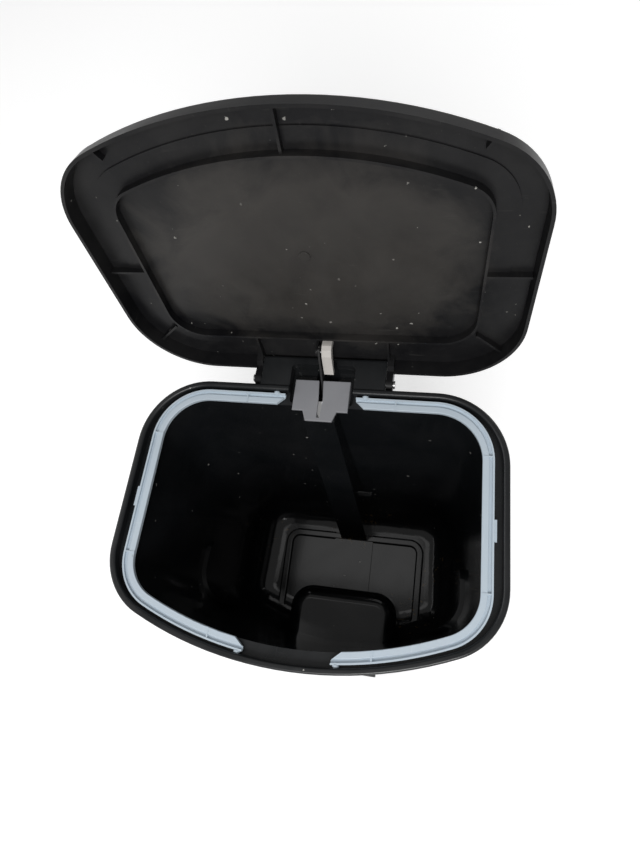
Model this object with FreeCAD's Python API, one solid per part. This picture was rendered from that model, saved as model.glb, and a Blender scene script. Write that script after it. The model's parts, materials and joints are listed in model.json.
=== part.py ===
"""Pedal trash can with a hinged lid, bag rings and a pedal-and-rod lid lift.

Millimetres.  +Z is up, the front (pedal side) faces -Y, the origin is the centre
of the base on the floor.  The can is shown as it stands with the pedal down:
lid open, push rod raised.
"""
import FreeCAD
import Part
import math
import os
from FreeCAD import Vector

# ---------------------------------------------------------------- driving sizes
CAN_WIDTH = 346.0            # sharp-corner width of the rim at the front
CAN_DEPTH = 243.7            # back edge to the front apex of the rim
RIM_TOP = 342.0              # floor to the top of the rim bead
WALL = 2.5                   # moulded wall
RIM_NARROWING = 7.0          # each side is this much nearer the middle at the back
RIM_SAG = 46.3               # how far the front bows out between its corners
RIM_BACK_RADIUS = 63.5
RIM_FRONT_RADIUS = 58.4
REAR_OVERHANG = 58.5         # rim's back edge behind the base's back edge
SIDE_TAPER = 45.0            # rim half width less base half width
BASE_DEPTH = 167.0
BASE_SAG = 33.0
BASE_RADIUS = 44.0

FLOOR_TOP = 26.0             # inside floor
FLOOR_FILLET = 34.0          # floor to wall, inside
RIM_BAND = 5.5               # thickness of the rim bead
RIM_SKIRT_DROP = 18.0        # skirt below the rim's top
LEDGE_DROP = 9.0             # ledge below the rim's top
LEDGE_INSET = 17.0           # rim's outer edge to the inside wall
BEAD_ROUND = 2.0

STRIP_HALF = 25.3            # raised strip in the floor over the lever
STRIP_RISE = 3.0
RIDGE_HALF_X = 93.0          # raised frame on the floor
RIDGE_BACK_Y = 53.0
RIDGE_FRONT_Y = -65.0
RIDGE_WIDTH = 10.0
RIDGE_RISE = 3.4
RIDGE_ROUND = 2.4            # rounding of the frame's top edges
RIDGE_RADIUS = 19.0

DOME_HALF = 67.0             # pedal housing bulge
DOME_BACK_Y = -21.0
DOME_RISE = 46.0
DOME_CORNER = 28.0
DOME_ROUND = 17.0

DUCT_HALF_FOOT = 17.4        # rod duct down the back
DUCT_HALF_TOP = 14.5
DUCT_FOOT_Y = 44.3           # front face at the floor
DUCT_TOP_Y = 111.5           # front face at the top

GRIP_Y = (-58.0, 8.0)        # hand grips in the side walls
GRIP_Z = (110.0, 190.0)
GRIP_DEPTH = 5.0
GRIP_RADIUS = 14.0

HINGE_BEHIND = 7.6           # hinge axis behind the rim's back edge
HINGE_DROP = 7.0             # hinge axis below the rim's top
BLOCK_HALF = 58.0            # hinge block behind the rim
BLOCK_REACH = 29.6           # block's back face behind the rim's back edge
BLOCK_TOP_DROP = 1.5
BLOCK_HEIGHT = 34.0
BLOCK_ROUND = 3.0
BLOCK_BEVEL = (8.0, 10.0)    # bevel under the block's back edge
BLOCK_SLOPE = 22.0           # underside falls by this much towards the body
PIN_SLEEVE = 2.6             # plastic left round each hinge pin in the hollow block
PIN_INNER = 14.0             # pin's inner end beyond the pocket's wall
STOP_REACH = 6.5             # stop under the open lid's edge, behind the block
STOP_DROP = 11.2             # stop's top below the rim's top
STOP_HEIGHT = 8.0
POCKET_HALF = 30.0
POCKET_BACK_WALL = 8.1
POCKET_DEPTH = 15.0
POCKET_ROUND = 4.0
MOUTH_HALF = 7.0             # slot in the block for the link, either side of it
MOUTH_DEPTH = 75.0           # below the rim's top, where it meets the duct's room
MOUTH_ROOM = 13.5            # rod pin to the slot's leaning back face, lid open
NOTCH_WALL = 1.3             # block's back wall behind the lift arm's foot
PIN_RADIUS = 2.25
PIN_CLEARANCE = 0.08         # running fit in the lid's ears
PIN_HEAD = 1.5

LID_MARGIN = 3.6             # lid skirt outside the rim
LID_LIFT = 2.0               # skirt's lower edge above the rim's top, lid shut
LID_HEIGHT = 16.0
LID_DRAFT = 1.6              # skirt leans in by this much at its top
LID_ROUND = 5.0
LID_OPEN_ANGLE = 105.6       # shut to open
PANEL_INSET = 33.0           # lid edge to the standing wall under the lid
PANEL_WALL = 2.0
PANEL_WALL_HEIGHT = 8.5
STEP_INSET = 17.0            # fine step in the lid's channel
LID_RIB = 2.0
LID_RIB_HEIGHT = 6.0
LID_CORNER_RIBS = ((59.0, 10.0, 35.0, 43.0), (61.0, -62.0, 132.0, 46.0))
LID_SIDE_RIB_SHIFT = 8.0     # side ribs stand this far in front of the middle
STEP_DEPTH = 1.0
GATE_RADIUS = 4.5            # gate mark in the middle of the lid
GATE_HEIGHT = 1.0
EAR_THICK = 6.0
EAR_RADIUS = 6.0
EAR_GAP = 0.5                # block to ear

RING_OUT_INSET = 12.4        # rim's outer edge to the bag ring's outer edge
RING_IN_INSET = 22.2
RING_STRETCH = 4.6           # rings run this much nearer the rim at the back and the front
RING_TOP_DROP = 3.0
RING_HEIGHT = 4.6
RING_LIP = 1.5
RING_BAND = 5.6              # wide inner band
RING_BAND_DROP = 0.9
RING_SOFT = 0.6              # softened edges of the band
RING_PLATE = 2.2
RING_WEB = 1.2               # webs across the channel
RING_WEB_DROP = 0.4
RING_WEB_X = 27.0            # back and front webs beyond the pivot
RING_TAB_HALF = 9.0
RING_PIVOT_X = 41.4
RING_TIP_BACK_X = 33.0
RING_TIP_FRONT_X = 37.0
RING_PEG_RADIUS = 1.8
RING_PEG_DROP = 0.5          # pegs sit this much below the lip's top
RING_COLLAR = 2.9            # radius of the collar on each peg
RING_COLLAR_LENGTH = 1.6
RING_CHAMFER = 7.5           # slanted ends of the ring
RING_TAB_REACH = 2.2
RING_PEG_ROOT = 2.0          # peg's start inside the lip
RING_FRONT_SLANT = 2.6       # the bowed front falls back by this much at the pivot
PEG_CLEARANCE = 0.08

COVER_HALF = 26.0            # grey guide cover over the duct's mouth
COVER_FRONT = 21.5           # cover's front edge in front of the rim's back edge
COVER_BACK = 8.3             # cover's back edge behind it
COVER_TAB_HALF = 14.2
COVER_TAB_TAPER = 1.8        # tab's half width grows and shrinks by this
COVER_TAB = 9.6
COVER_THICK = 2.2
COVER_ROUND = 0.7            # softened top edges
COVER_TOP_DROP = 6.8
SLOT_SIDE = 1.2              # link's middle to the slot's near edges
SLOT_BEND = 1.7              # how far the slot's edges stand off at its bends

LINK_X = -1.0                # lift link, a flat strip in a vertical plane
LINK_THICK = 1.6
LINK_DEPTH = 9.0
LINK_PIVOT_V = 29.0          # pivot in front of the hinge, lid shut
LINK_PIVOT_W = 11.0          # pivot above the hinge, lid shut
LINK_LEAN = 30.0             # lean from upright, lid open
LINK_REACH = 98.0            # pivot to rod pin, lid open
LINK_PIN_RADIUS = 1.6
LINK_HEAD = 5.0              # strip beyond its upper pivot
LUG_GAP = 0.4                # link to the lid's lug, and to the lift arm
LUG_THICK = 2.0
LUG_RADIUS = 4.0
ARM_X = (1.2, 10.0)          # light lift arm fixed under the lid
ARM_PIN = 4.0                # depth of the link pin in the arm
ARM_OUTER = ((4.6, 3.6), (27.0, 6.6), (32.5, 9.5), (34.5, 13.5))
ARM_INNER = ((29.5, 15.6), (24.5, 12.4), (5.6, 7.4))
ARM_ROUND = 1.0

ROD_TRAVEL = 15.0
ROD_WIDTH = 9.0
ROD_THICK = 4.0
ROD_FOOT_ROUND = 2.8         # radius of the rod's round foot
ROD_FOOT_LIFT = 3.2          # foot's middle above the lever, and in from the lever's end
ROD_FOOT_INSET = 7.0
FORK_DROP = 14.0             # fork's root, and the end of its gap, below the pin
FORK_GAP_DROP = 26.0
CHEEK = 3.6                  # fork round the rod pin

FOOT_HEIGHT = 3.0
FOOT_RADIUS = 11.0
FOOT_INSET = 34.0            # feet from the base's sides, back and front
FOOT_INSET_REAR = 32.0
FOOT_INSET_FRONT = 38.0
PAD_HALF = (24.0, 18.0)      # bearing pad under the axle, level with the feet
PAD_RADIUS = 8.0
SCREW_X = 78.0               # base screws, left and right of the middle
SCREW_Y = (-38.0, 46.0)
SCREW_RADIUS = 1.8
SCREW_HEAD_RADIUS = 3.4
SCREW_HEAD = 1.6
SCREW_LENGTH = 14.0
BOSS_RADIUS = 4.6
PLATE_THICK = 2.5
PLATE_GAP = 1.0
PLATE_RIB = 6.0              # rib round the plate, inside the body's wall
PLATE_RIB_THICK = 2.0
AXLE_Y = -6.0
AXLE_Z = 14.5
AXLE_RADIUS = 2.5
AXLE_CLEARANCE = 0.08
LEVER_HALF = 17.0
LEVER_THICK = 4.0
LEVER_NECK = 7.0             # rear arm is narrower than the hub by this on each side
LEVER_REAR = 66.0            # axle to the lever's rear end
LEVER_FRONT = 100.0          # axle to the middle of the tread
LEVER_BEND = 12.0            # front arm turned up from the rear arm
LEVER_REAR_ANGLE = 9.4       # rear arm above level, pedal down
TREAD_HALF = 44.0
TREAD_LENGTH = 34.0
TREAD_THICK = 3.0
TREAD_CORNER = 9.0

# ------------------------------------------------------------------ derived
BASE_BACK_Y = BASE_DEPTH / 2.0
RIM_BACK_Y = BASE_BACK_Y + REAR_OVERHANG
RIM_FRONT_Y = RIM_BACK_Y - CAN_DEPTH
LEDGE_Z = RIM_TOP - LEDGE_DROP
HINGE_Y = RIM_BACK_Y + HINGE_BEHIND
HINGE_Z = RIM_TOP - HINGE_DROP
PLATE_TOP = FOOT_HEIGHT + PLATE_THICK
COVER_TOP = RIM_TOP - COVER_TOP_DROP
DUCT_TOP = COVER_TOP - COVER_THICK
DUCT_SLOPE = (DUCT_TOP_Y - DUCT_FOOT_Y) / (DUCT_TOP - FLOOR_TOP)
MOUTH_FRONT_Y = DUCT_TOP_Y + WALL
BLOCK_TOP = RIM_TOP - BLOCK_TOP_DROP
BLOCK_BACK_Y = RIM_BACK_Y + BLOCK_REACH
POCKET_BACK_Y = BLOCK_BACK_Y - POCKET_BACK_WALL
POCKET_LOW = RIM_TOP - POCKET_DEPTH
OVER_RIM = RIM_TOP + 5.0
LEDGE_BACK_Y = RIM_BACK_Y - LEDGE_INSET + WALL
LID_LOW = RIM_TOP + LID_LIFT
LID_TOP = LID_LOW + LID_HEIGHT
LID_CEILING = LID_TOP - WALL
LINK_GAP = LINK_THICK / 2 + LUG_GAP
PIVOT_Y = HINGE_Y - LINK_PIVOT_V
PIVOT_Z = HINGE_Z + LINK_PIVOT_W
RING_TOP = RIM_TOP - RING_TOP_DROP
RING_AXIS_Z = RING_TOP - RING_PEG_RADIUS - RING_PEG_DROP
RING_SIDE_WEBS = (RIM_BACK_Y - 54.0, RIM_FRONT_Y + 78.0)
RING_TAB_Y = RIM_BACK_Y - 115.0
SADDLE_X = LEVER_HALF + 5.0

RIM = dict(back=RIM_BACK_Y, front=RIM_FRONT_Y, half=CAN_WIDTH / 2.0, narrow=RIM_NARROWING,
           sag=RIM_SAG, back_r=RIM_BACK_RADIUS, front_r=RIM_FRONT_RADIUS)
BASE = dict(back=BASE_BACK_Y, front=-BASE_BACK_Y, half=CAN_WIDTH / 2.0 - SIDE_TAPER,
            narrow=RIM_NARROWING, sag=BASE_SAG, back_r=BASE_RADIUS, front_r=BASE_RADIUS)
RING = dict(RIM, back=RIM_BACK_Y + RING_STRETCH, front=RIM_FRONT_Y - RING_STRETCH)


# ------------------------------------------------------------------ helpers
def box(x0, x1, y0, y1, z0, z1):
    """Box between two corners."""
    return Part.makeBox(x1 - x0, y1 - y0, z1 - z0, Vector(x0, y0, z0))


def rod(p, q, radius):
    """Cylinder of a radius from point p to point q."""
    p = Vector(*p)
    axis = Vector(*q) - p
    return Part.makeCylinder(radius, axis.Length, p, axis)


def fuse(shapes):
    """Union of several solids, with seams between flush faces removed."""
    return shapes[0].multiFuse(shapes[1:]).removeSplitter()


def fillet(shape, radius, wanted):
    """Round the edges for which wanted(edge) is true."""
    edges = [edge for edge in shape.Edges if wanted(edge)]
    return shape.makeFillet(radius, edges)


def outline(form, z, inset=0.0):
    """Closed plan outline: straight back, flaring sides, bowed front, round corners."""
    half = form["half"]
    corner_y = form["front"] + form["sag"]
    back_half = half - form["narrow"]
    front_radius = (half ** 2 + form["sag"] ** 2) / (2.0 * form["sag"])
    arc_centre = Vector(0, form["front"] + front_radius, z)
    side = Vector(half - back_half, corner_y - form["back"], 0).normalize()
    out = Vector(-side.y, side.x, 0)
    start = Vector(back_half, form["back"], z)
    # back corner: its centre lies one radius inside the back line and the side line
    r = form["back_r"]
    travel = (-r + out.y * r) / side.y
    back_centre = start + side * travel - out * r
    # front corner: one radius inside the side line, and inside the bowed front
    s = form["front_r"]
    base = start - out * s - arc_centre
    along = base.dot(side)
    travel = -along + math.sqrt(along ** 2 - base.dot(base) + (front_radius - s) ** 2)
    front_centre = start - out * s + side * travel
    toward = (front_centre - arc_centre).normalize()

    def mirrored(v):
        return Vector(-v.x, v.y, v.z)

    r -= inset
    s -= inset
    p1 = Vector(back_centre.x, back_centre.y + r, z)
    m1 = back_centre + (Vector(0, 1, 0) + out).normalize() * r
    p2 = back_centre + out * r
    p3 = front_centre + out * s
    m2 = front_centre + (out + toward).normalize() * s
    p4 = front_centre + toward * s
    p5 = Vector(0, form["front"] + inset, z)
    edges = [Part.LineSegment(mirrored(p1), p1), Part.Arc(p1, m1, p2), Part.LineSegment(p2, p3),
             Part.Arc(p3, m2, p4), Part.Arc(p4, p5, mirrored(p4)),
             Part.Arc(mirrored(p4), mirrored(m2), mirrored(p3)),
             Part.LineSegment(mirrored(p3), mirrored(p2)),
             Part.Arc(mirrored(p2), mirrored(m1), mirrored(p1))]
    return Part.Wire([edge.toShape() for edge in edges])


def prism(form, z0, z1, inset):
    """Upright solid with the plan outline."""
    return Part.Face(outline(form, z0, inset)).extrude(Vector(0, 0, z1 - z0))


def tube(form, z0, z1, inset, thick):
    """Upright wall of a thickness that follows the plan outline."""
    return prism(form, z0, z1, inset).cut(prism(form, z0 - 1, z1 + 1, inset + thick))


def bucket(grow):
    """Tapered solid from the base to the ledge; grow moves its sides outwards."""
    low = outline(BASE, 0, -grow)
    high = outline(RIM, LEDGE_Z, LEDGE_INSET - grow)
    return Part.makeLoft([low, high], True, True)


def above(shape, z):
    """The part of a solid above a height."""
    return shape.common(box(-400, 400, -400, 400, z, 900))


def bowl(grow, z, radius):
    """The bucket above a height, with its lower edge rounded."""
    solid = above(bucket(grow), z)
    return fillet(solid, radius, lambda e: e.BoundBox.ZMax < z + 0.01)


def rounded_box(x0, x1, y0, y1, z0, z1, radius):
    """Box with its four upright edges rounded."""
    solid = box(x0, x1, y0, y1, z0, z1)
    return fillet(solid, radius, lambda e: e.BoundBox.ZLength > z1 - z0 - 0.01)


def slab_x(points, x0, x1):
    """Solid between two X values from a closed list of (y, z) points."""
    wire = Part.makePolygon([Vector(x0, y, z) for y, z in points + points[:1]])
    return Part.Face(wire).extrude(Vector(x1 - x0, 0, 0))


def turned(shape, degrees, y=HINGE_Y, z=HINGE_Z):
    """Copy turned about a line along X through (y, z); positive lifts the front."""
    copy = shape.copy()
    copy.rotate(Vector(0, y, z), Vector(1, 0, 0), -degrees)
    return copy


# ------------------------------------------------------------------ places on the moving parts
def lid_point(y, z, angle):
    """Where a point of the shut lid stands after the lid has opened by angle degrees."""
    t = math.radians(angle)
    dy = y - HINGE_Y
    dz = z - HINGE_Z
    return (HINGE_Y + dy * math.cos(t) + dz * math.sin(t), HINGE_Z - dy * math.sin(t) + dz * math.cos(t))


def rod_direction():
    """Unit (y, z) direction of the rod's travel, along the duct's front face."""
    length = math.hypot(DUCT_SLOPE, 1.0)
    return DUCT_SLOPE / length, 1.0 / length


LINK_TOP = lid_point(PIVOT_Y, PIVOT_Z, LID_OPEN_ANGLE)
LEAN = math.radians(LINK_LEAN)
ROD_PIN = (LINK_TOP[0] - LINK_REACH * math.sin(LEAN), LINK_TOP[1] - LINK_REACH * math.cos(LEAN))


# ------------------------------------------------------------------ body shell
def duct_solid(shrink, foot_z, top_z, back_y):
    """Tapered upright box for the rod duct, from its sloping front face backwards."""
    wires = []
    for z in (foot_z, top_z):
        share = (z - FLOOR_TOP) / (DUCT_TOP - FLOOR_TOP)
        half = DUCT_HALF_FOOT + (DUCT_HALF_TOP - DUCT_HALF_FOOT) * share - shrink
        y = DUCT_FOOT_Y + DUCT_SLOPE * (z - FLOOR_TOP) + shrink
        corners = [Vector(-half, y, z), Vector(half, y, z), Vector(half, back_y, z),
                   Vector(-half, back_y, z)]
        wires.append(Part.makePolygon(corners + corners[:1]))
    return Part.makeLoft(wires, True, True)


def dome_solid(shrink):
    """Round-topped bulge over the pedal, open towards the front wall."""
    solid = box(-DOME_HALF + shrink, DOME_HALF - shrink, RIM_FRONT_Y - 40, DOME_BACK_Y - shrink,
                -5, FLOOR_TOP + DOME_RISE - shrink)
    solid = fillet(solid, DOME_CORNER - shrink,
                   lambda e: e.BoundBox.ZLength > 40 and e.BoundBox.YMin > DOME_BACK_Y - shrink - 1)
    top = FLOOR_TOP + DOME_RISE - shrink
    return fillet(solid, DOME_ROUND - shrink,
                  lambda e: e.BoundBox.ZMin > top - 0.01 and e.BoundBox.YMax > RIM_FRONT_Y - 39)


def grip_blocks(shrink):
    """Rounded blocks that mark the hand grips on both side walls."""
    y0, y1 = GRIP_Y
    z0, z1 = GRIP_Z
    block = box(0, 400, y0 + shrink, y1 - shrink, z0 + shrink, z1 - shrink)
    block = fillet(block, GRIP_RADIUS - shrink, lambda e: e.BoundBox.XLength > 300)
    return [block, block.mirror(Vector(0, 0, 0), Vector(1, 0, 0))]


def hinge_block():
    """Block behind the rim that carries the hinge pins, open below, with a stop for the lid."""
    low = BLOCK_TOP - BLOCK_HEIGHT
    front = RIM_BACK_Y - LEDGE_INSET + WALL / 2
    rim_side = RIM_BACK_Y - RIM_BAND / 2
    ledge_low = LEDGE_Z - WALL / 2
    bevel_y, bevel_z = BLOCK_BEVEL
    profile = [(rim_side, BLOCK_TOP), (BLOCK_BACK_Y, BLOCK_TOP), (BLOCK_BACK_Y, low + bevel_z),
               (BLOCK_BACK_Y - bevel_y, low), (front, low - BLOCK_SLOPE), (front, ledge_low),
               (rim_side, ledge_low)]
    outer = slab_x(profile, -BLOCK_HALF, BLOCK_HALF)
    outer = fillet(outer, BLOCK_ROUND,
                   lambda e: e.BoundBox.XLength > 100 and e.BoundBox.YMin > BLOCK_BACK_Y - 1)
    inside = RIM_BACK_Y + 0.5
    hollow_back = BLOCK_BACK_Y - WALL
    room = [(inside, BLOCK_TOP - WALL), (hollow_back, BLOCK_TOP - WALL), (hollow_back, low + bevel_z - 1),
            (hollow_back - bevel_y + 1.5, low - 1), (inside, low - BLOCK_SLOPE - 18)]
    hollow = slab_x(room, POCKET_HALF + WALL, BLOCK_HALF - WALL)
    hollow = hollow.cut(rod((POCKET_HALF, HINGE_Y, HINGE_Z), (BLOCK_HALF, HINGE_Y, HINGE_Z),
                            PIN_RADIUS + PIN_SLEEVE))
    block = outer.cut(hollow).cut(hollow.mirror(Vector(0, 0, 0), Vector(1, 0, 0)))
    stop_top = RIM_TOP - STOP_DROP
    stop_back = BLOCK_BACK_Y + STOP_REACH
    stop = slab_x([(BLOCK_BACK_Y - WALL, stop_top), (stop_back, stop_top),
                   (stop_back, stop_top - WALL), (BLOCK_BACK_Y - WALL, stop_top - STOP_HEIGHT)],
                  -BLOCK_HALF + EAR_GAP, BLOCK_HALF - EAR_GAP)
    return block.fuse(stop)


def duct_mouth():
    """Room for the link from the duct's top into the pocket; its back face leans as the link."""
    low = RIM_TOP - MOUTH_DEPTH - WALL
    front_low = DUCT_FOOT_Y + DUCT_SLOPE * (low - FLOOR_TOP) + WALL
    pin_y, pin_z = ROD_PIN

    def back(z):
        return pin_y + MOUTH_ROOM + (z - pin_z) * math.tan(LEAN)

    profile = [(front_low, low), (MOUTH_FRONT_Y, DUCT_TOP), (MOUTH_FRONT_Y, OVER_RIM),
               (POCKET_BACK_Y, OVER_RIM), (POCKET_BACK_Y, POCKET_LOW), (back(POCKET_LOW), POCKET_LOW),
               (back(low), low)]
    return slab_x(profile, LINK_X - MOUTH_HALF, LINK_X + MOUTH_HALF)


def screw_places():
    """Plan positions of the four base screws."""
    return [(x, y) for x in (-SCREW_X, SCREW_X) for y in SCREW_Y]


def make_base_screws():
    """Four pan-head screws that hold the base plate to the bosses under the floor."""
    screws = []
    for x, y in screw_places():
        head = rod((x, y, FOOT_HEIGHT + 0.1), (x, y, FOOT_HEIGHT + SCREW_HEAD), SCREW_HEAD_RADIUS)
        shank = rod((x, y, FOOT_HEIGHT + SCREW_HEAD), (x, y, FOOT_HEIGHT + SCREW_LENGTH),
                    SCREW_RADIUS)
        screws.append(fuse([head, shank]))
    return Part.makeCompound(screws)


def make_body_shell():
    """Bucket, floor, rim, duct, pedal dome and hinge block, moulded in one."""
    inner = bucket(0)
    cavity = bowl(0, FLOOR_TOP, FLOOR_FILLET)
    inset_cavity = bowl(-STRIP_RISE, FLOOR_TOP + STRIP_RISE, FLOOR_FILLET - STRIP_RISE)
    wall = above(bucket(WALL), FOOT_HEIGHT + PLATE_THICK).cut(inner)
    floor = bowl(WALL / 2, FLOOR_TOP - WALL, FLOOR_FILLET + WALL / 2).cut(cavity)
    strip_box = box(-STRIP_HALF, STRIP_HALF, DOME_BACK_Y - 5, 200, FLOOR_TOP - 5, FLOOR_TOP + 70)
    strip = cavity.cut(inset_cavity).common(strip_box)
    ridge = rounded_box(-RIDGE_HALF_X, RIDGE_HALF_X, RIDGE_FRONT_Y, RIDGE_BACK_Y, FLOOR_TOP - 1,
                        FLOOR_TOP + RIDGE_RISE, RIDGE_RADIUS)
    ridge = ridge.cut(rounded_box(-RIDGE_HALF_X + RIDGE_WIDTH, RIDGE_HALF_X - RIDGE_WIDTH,
                                  RIDGE_FRONT_Y + RIDGE_WIDTH, RIDGE_BACK_Y - RIDGE_WIDTH,
                                  FLOOR_TOP - 2, FLOOR_TOP + 9, RIDGE_RADIUS - RIDGE_WIDTH))
    ridge = fillet(ridge, RIDGE_ROUND, lambda e: e.BoundBox.ZMin > FLOOR_TOP + RIDGE_RISE - 0.01)
    dome = dome_solid(0).common(bucket(WALL / 2)).common(box(-200, 200, -300, 200, FLOOR_TOP - WALL, 200))
    duct = duct_solid(0, FLOOR_TOP - WALL, DUCT_TOP, RIM_BACK_Y + 10)
    duct_room = bucket(WALL / 2).fuse(prism(RIM, LEDGE_Z - 1, RIM_TOP, RIM_BAND - 1))
    duct = duct.common(duct_room)
    ledge = tube(RIM, LEDGE_Z - WALL, LEDGE_Z, RIM_BAND - 1, LEDGE_INSET - RIM_BAND + 1)
    bead = tube(RIM, LEDGE_Z - WALL, RIM_TOP, 0, RIM_BAND)
    bead = fillet(bead, BEAD_ROUND, lambda e: e.BoundBox.ZMin > RIM_TOP - 0.01)
    skirt = tube(RIM, RIM_TOP - RIM_SKIRT_DROP, LEDGE_Z - WALL / 2, 0, WALL)
    block = hinge_block()
    body = fuse([wall, floor, ledge, bead, skirt, block, strip, ridge, dome, duct])
    for block_out, block_in in zip(grip_blocks(0), grip_blocks(WALL)):
        shell = bucket(WALL).cut(bucket(-GRIP_DEPTH)).common(block_out)
        recess = bucket(WALL + 9).cut(bucket(WALL - GRIP_DEPTH)).common(block_in)
        body = body.fuse(shell).cut(recess)
    # room for the lever under the strip, for the pedal under the dome, for the rod in the duct
    body = body.cut(box(-STRIP_HALF + WALL, STRIP_HALF - WALL, DOME_BACK_Y - 4, DUCT_FOOT_Y + 30,
                        0, FLOOR_TOP + STRIP_RISE - WALL))
    body = body.cut(dome_solid(WALL).common(bucket(-0.5)))
    body = body.cut(box(-DOME_HALF + 12, DOME_HALF - 12, RIM_FRONT_Y - 20, DOME_BACK_Y - 30, 0,
                        FLOOR_TOP + DOME_RISE - 12))
    body = body.cut(duct_solid(WALL, -1, RIM_TOP - MOUTH_DEPTH, BLOCK_BACK_Y + STOP_REACH + 1))
    for x, y in screw_places():
        boss = rod((x, y, PLATE_TOP), (x, y, FLOOR_TOP - WALL / 2), BOSS_RADIUS)
        body = body.fuse(boss).cut(rod((x, y, 0), (x, y, FOOT_HEIGHT + SCREW_LENGTH + 0.5), SCREW_RADIUS))
    body = body.cut(duct_mouth())
    body = body.cut(rounded_box(-POCKET_HALF, POCKET_HALF, LEDGE_BACK_Y, POCKET_BACK_Y,
                                POCKET_LOW, OVER_RIM, POCKET_ROUND))
    body = body.cut(box(LINK_X - LUG_RADIUS, ARM_X[1] + 2, POCKET_BACK_Y - 2,
                        BLOCK_BACK_Y - NOTCH_WALL, POCKET_LOW, OVER_RIM))
    # sockets for the bag rings' pegs and holes for the hinge pins
    for side in (-1, 1):
        peg_x = side * RING_PIVOT_X
        body = body.cut(rod((peg_x, RIM_FRONT_Y - 1 + WALL, RING_AXIS_Z),
                            (peg_x, RIM_BACK_Y - WALL + 1, RING_AXIS_Z),
                            RING_PEG_RADIUS + PEG_CLEARANCE))
        inner_x = side * (POCKET_HALF + WALL + PIN_INNER)
        body = body.cut(rod((inner_x, HINGE_Y, HINGE_Z), (side * (BLOCK_HALF + 1), HINGE_Y, HINGE_Z),
                            PIN_RADIUS))
    return body.removeSplitter()


def make_hinge_pin(side):
    """Steel pin pressed in the block, with a head outside the lid's ear."""
    x0 = side * (POCKET_HALF + WALL + PIN_INNER + 0.5)
    x1 = side * (BLOCK_HALF + EAR_GAP + EAR_THICK + EAR_GAP)
    shank = rod((x0, HINGE_Y, HINGE_Z), (x1, HINGE_Y, HINGE_Z), PIN_RADIUS)
    head = rod((x1, HINGE_Y, HINGE_Z), (x1 + side * PIN_HEAD, HINGE_Y, HINGE_Z), PIN_RADIUS + 1.4)
    return fuse([shank, head])


# ------------------------------------------------------------------ lid
def lid_rib(x, y, angle, length):
    """Thin upright rib under the lid, centred at (x, y) and turned by angle."""
    low = LID_CEILING - LID_RIB_HEIGHT
    rib = box(-LID_RIB / 2, LID_RIB / 2, -length / 2, length / 2, low, LID_CEILING + 1)
    rib.rotate(Vector(0, 0, 0), Vector(0, 0, 1), angle)
    rib.translate(Vector(x, y, 0))
    return rib


def lid_ribs():
    """Ribs between the skirt and the standing wall: front, corners, sides and hinge."""
    length = PANEL_INSET + LID_MARGIN - WALL - LID_DRAFT + 1
    middle = (PANEL_INSET - LID_MARGIN + WALL + LID_DRAFT) / 2.0
    side_x = CAN_WIDTH / 2.0
    corner_y = RIM_FRONT_Y + RIM_SAG
    ribs = [lid_rib(0, RIM_FRONT_Y + middle, 0, length)]
    for arc_x, arc_y, angle, reach in LID_CORNER_RIBS:
        turn = math.radians(angle)
        x = side_x - arc_x + reach * math.sin(turn)
        y = (RIM_BACK_Y if angle > 90 else corner_y) + arc_y - reach * math.cos(turn)
        ribs.append(lid_rib(x, y, angle, length))
        ribs.append(lid_rib(-x, y, -angle, length))
    side_y = (RIM_BACK_Y + corner_y) / 2.0 - LID_SIDE_RIB_SHIFT
    for side in (-1, 1):
        ribs.append(lid_rib(side * (side_x - RIM_NARROWING / 2 - middle), side_y, 90, length))
        ribs.append(lid_rib(side * (BLOCK_HALF + 1.5), RIM_BACK_Y - middle, 0, length))
    under = prism(RIM, LID_LOW - 20, LID_TOP - 0.5, LID_DRAFT + 0.5 - LID_MARGIN)
    return [rib.common(under) for rib in ribs]


def lid_ear():
    """Right ear that turns on its hinge pin beside the hinge block."""
    x0 = BLOCK_HALF + EAR_GAP
    x1 = x0 + EAR_THICK
    profile = [(HINGE_Y - EAR_RADIUS, HINGE_Z), (HINGE_Y + EAR_RADIUS, HINGE_Z),
               (HINGE_Y + EAR_RADIUS - 3, LID_LOW + 4), (RIM_BACK_Y + 2, LID_CEILING + 1),
               (RIM_BACK_Y - 8, LID_CEILING + 1), (RIM_BACK_Y - 4, LID_LOW + 3),
               (RIM_BACK_Y + 1, LID_LOW + 1)]
    ear = slab_x(profile, x0, x1)
    return ear.fuse(rod((x0, HINGE_Y, HINGE_Z), (x1, HINGE_Y, HINGE_Z), EAR_RADIUS))


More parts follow.
